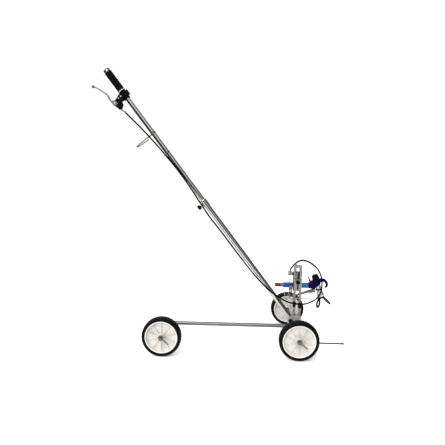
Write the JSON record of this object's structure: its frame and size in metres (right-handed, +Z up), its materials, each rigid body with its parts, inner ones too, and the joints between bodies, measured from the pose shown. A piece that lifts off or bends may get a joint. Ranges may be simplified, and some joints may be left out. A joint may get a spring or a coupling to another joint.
{
  "type": "airless paint sprayer",
  "caption": "Hand-pushed line-marking cart that carries an airless spray gun on a height-adjustable mast, worked by a brake lever on a telescopic push pole.",
  "frame": {"origin": "centre of the bottom of the bounding box, on the ground that the wheels stand on", "axes": "+X forward, the way the spray gun faces; +Y to the left of a person pushing the cart; +Z up"},
  "size_m": [1.186, 0.522, 1.3046],
  "materials": {
    "chrome_tube": "bright plated tube with fine drawing lines",
    "cast_metal": "satin cast aluminium",
    "bright_steel": "machined steel",
    "blackened_steel": "satin black",
    "tyre_rubber": "matt moulded rubber",
    "grip_rubber": "matt ribbed rubber",
    "black_plastic": "moulded, fine texture",
    "cable_jacket": "smooth extruded jacket",
    "white_plastic": "moulded, slightly warm",
    "navy_coat": "gloss navy coating",
    "blue_plastic": "gloss moulded",
    "red_plastic": "gloss moulded"
  },
  "bodies": {
    "frame": {"chassis_tube": "chrome_tube", "front_axle": "bright_steel", "rear_axle": "bright_steel", "front_axle_block": "cast_metal", "rear_axle_block": "cast_metal", "base_block": "cast_metal", "pointer_clamp": "cast_metal", "pole_lower": "chrome_tube", "pole_clamp": "chrome_tube", "post_rear": "chrome_tube", "post_front": "chrome_tube", "post_sleeve_rear": "grip_rubber", "post_sleeve_front": "grip_rubber", "mast_cap": "cast_metal", "brake_cable": "cable_jacket", "washer_front_right": "bright_steel", "washer_front_left": "bright_steel", "washer_rear": "bright_steel", "cotter_pin_front_right": "bright_steel", "cotter_pin_front_left": "bright_steel", "cotter_pin_rear": "bright_steel"},
    "wheel_front_right": {"tyre_front_right": "tyre_rubber", "rim_front_right": "white_plastic", "hub_bush_front_right": "bright_steel"},
    "wheel_front_left": {"tyre_front_left": "tyre_rubber", "rim_front_left": "white_plastic", "hub_bush_front_left": "bright_steel"},
    "wheel_rear": {"tyre_rear": "tyre_rubber", "rim_rear": "white_plastic", "hub_bush_rear": "bright_steel"},
    "base_knob": {"base_knob": "black_plastic"},
    "pointer": {"pointer_rod": "chrome_tube"},
    "pole_clamp_knob": {"pole_clamp_knob": "black_plastic"},
    "upper_handle": {"pole_upper": "chrome_tube", "hose_hook": "chrome_tube", "cable_clip": "bright_steel", "grip": "grip_rubber", "grip_end_cap": "chrome_tube", "lever_bracket": "black_plastic", "lever_pin": "bright_steel"},
    "barrel_adjuster": {"barrel_adjuster": "chrome_tube"},
    "brake_lever": {"brake_lever": "chrome_tube"},
    "carriage": {"gun_carriage": "blackened_steel", "clamp_plate": "cast_metal", "cable_anchor": "cast_metal", "gun_head": "navy_coat", "gun_handle": "blue_plastic", "rear_cap": "black_plastic", "diffuser": "cast_metal", "trigger_pin": "bright_steel", "trigger_guard": "chrome_tube"},
    "carriage_knob": {"carriage_knob": "black_plastic"},
    "trigger_yoke": {"trigger_yoke": "bright_steel"},
    "trigger": {"trigger": "cast_metal"},
    "needle": {"needle": "bright_steel"},
    "tip_guard": {"tip_guard": "black_plastic", "spray_tip": "bright_steel"},
    "trigger_lock": {"trigger_lock": "navy_coat"},
    "swivel_nut": {"swivel_nut": "cast_metal"},
    "inlet_cap": {"inlet_cap": "red_plastic"}
  },
  "joints": [
    {"name": "wheel_front_right_spin", "type": "hinge", "parent": "frame", "child": "wheel_front_right", "pos_m": [0.38694, -0.224, 0.089], "axis": [0, 1, 0], "continuous": true},
    {"name": "wheel_front_left_spin", "type": "hinge", "parent": "frame", "child": "wheel_front_left", "pos_m": [0.38694, 0.224, 0.089], "axis": [0, 1, 0], "continuous": true},
    {"name": "wheel_rear_spin", "type": "hinge", "parent": "frame", "child": "wheel_rear", "pos_m": [-0.22306, -0.218, 0.089], "axis": [0, 1, 0], "continuous": true},
    {"name": "base_knob_turn", "type": "hinge", "parent": "frame", "child": "base_knob", "pos_m": [0.37394, -0.0226, 0.108], "axis": [0, 1, 0], "range_deg": [0, 360]},
    {"name": "pointer_slide", "type": "slide", "parent": "frame", "child": "pointer", "axis": [1, 0, 0], "range_m": [-0.12, 0.01]},
    {"name": "pole_clamp_knob_turn", "type": "hinge", "parent": "frame", "child": "pole_clamp_knob", "pos_m": [-0.06726, 0, 0.66073], "axis": [-0.7953, 0, -0.6063], "range_deg": [0, 360]},
    {"name": "pole_slide", "type": "slide", "parent": "frame", "child": "upper_handle", "axis": [-0.6063, 0, 0.7953], "range_m": [-0.25, 0.04], "deforming": ["brake_cable"]},
    {"name": "adjuster_turn", "type": "hinge", "parent": "upper_handle", "child": "barrel_adjuster", "pos_m": [-0.45347, 0, 1.11423], "axis": [0.8257, 0, -0.5642], "range_deg": [0, 360]},
    {"name": "lever_pull", "type": "hinge", "parent": "upper_handle", "child": "brake_lever", "pos_m": [-0.48265, 0, 1.14128], "axis": [0, 1, 0], "range_deg": [0, 22], "stiffness_Nm_per_rad": 0.8, "springref_deg": -20.05},
    {"name": "gun_height", "type": "slide", "parent": "frame", "child": "carriage", "axis": [0, 0, 1], "range_m": [-0.05, 0.02], "deforming": ["brake_cable"]},
    {"name": "carriage_knob_turn", "type": "hinge", "parent": "carriage", "child": "carriage_knob", "pos_m": [0.40594, -0.0126, 0.296], "axis": [0, 1, 0], "range_deg": [0, 360]},
    {"name": "yoke_lift", "type": "slide", "parent": "carriage", "child": "trigger_yoke", "axis": [0, 0, 1], "range_m": [0, 0.0192]},
    {"name": "trigger_pull", "type": "hinge", "parent": "carriage", "child": "trigger", "pos_m": [0.49294, 0.032, 0.249], "axis": [0, 1, 0], "range_deg": [0, 9.1]},
    {"name": "needle_lift", "type": "slide", "parent": "carriage", "child": "needle", "axis": [-0.3007, 0, 0.9537], "range_m": [0, 0.0021]},
    {"name": "tip_guard_turn", "type": "hinge", "parent": "carriage", "child": "tip_guard", "pos_m": [0.51094, 0.032, 0.271], "axis": [0.3007, 0, -0.9537], "range_deg": [-45, 45]},
    {"name": "lock_turn", "type": "hinge", "parent": "carriage", "child": "trigger_lock", "pos_m": [0.47094, 0.032, 0.2945], "axis": [0, 1, 0], "range_deg": [0, 28]},
    {"name": "inlet_swivel", "type": "hinge", "parent": "carriage", "child": "swivel_nut", "pos_m": [0.33194, 0.032, 0.271], "axis": [1, 0, 0], "continuous": true},
    {"name": "cap_pull", "type": "slide", "parent": "swivel_nut", "child": "inlet_cap", "axis": [-1, 0, 0], "range_m": [0, 0.02]}
  ],
  "couplings": [
    {"joint": "trigger_pull", "follows": "lever_pull", "ratio": 0.41},
    {"joint": "yoke_lift", "follows": "lever_pull", "m_per_rad": 0.0494},
    {"joint": "needle_lift", "follows": "lever_pull", "m_per_rad": 0.0052}
  ]
}
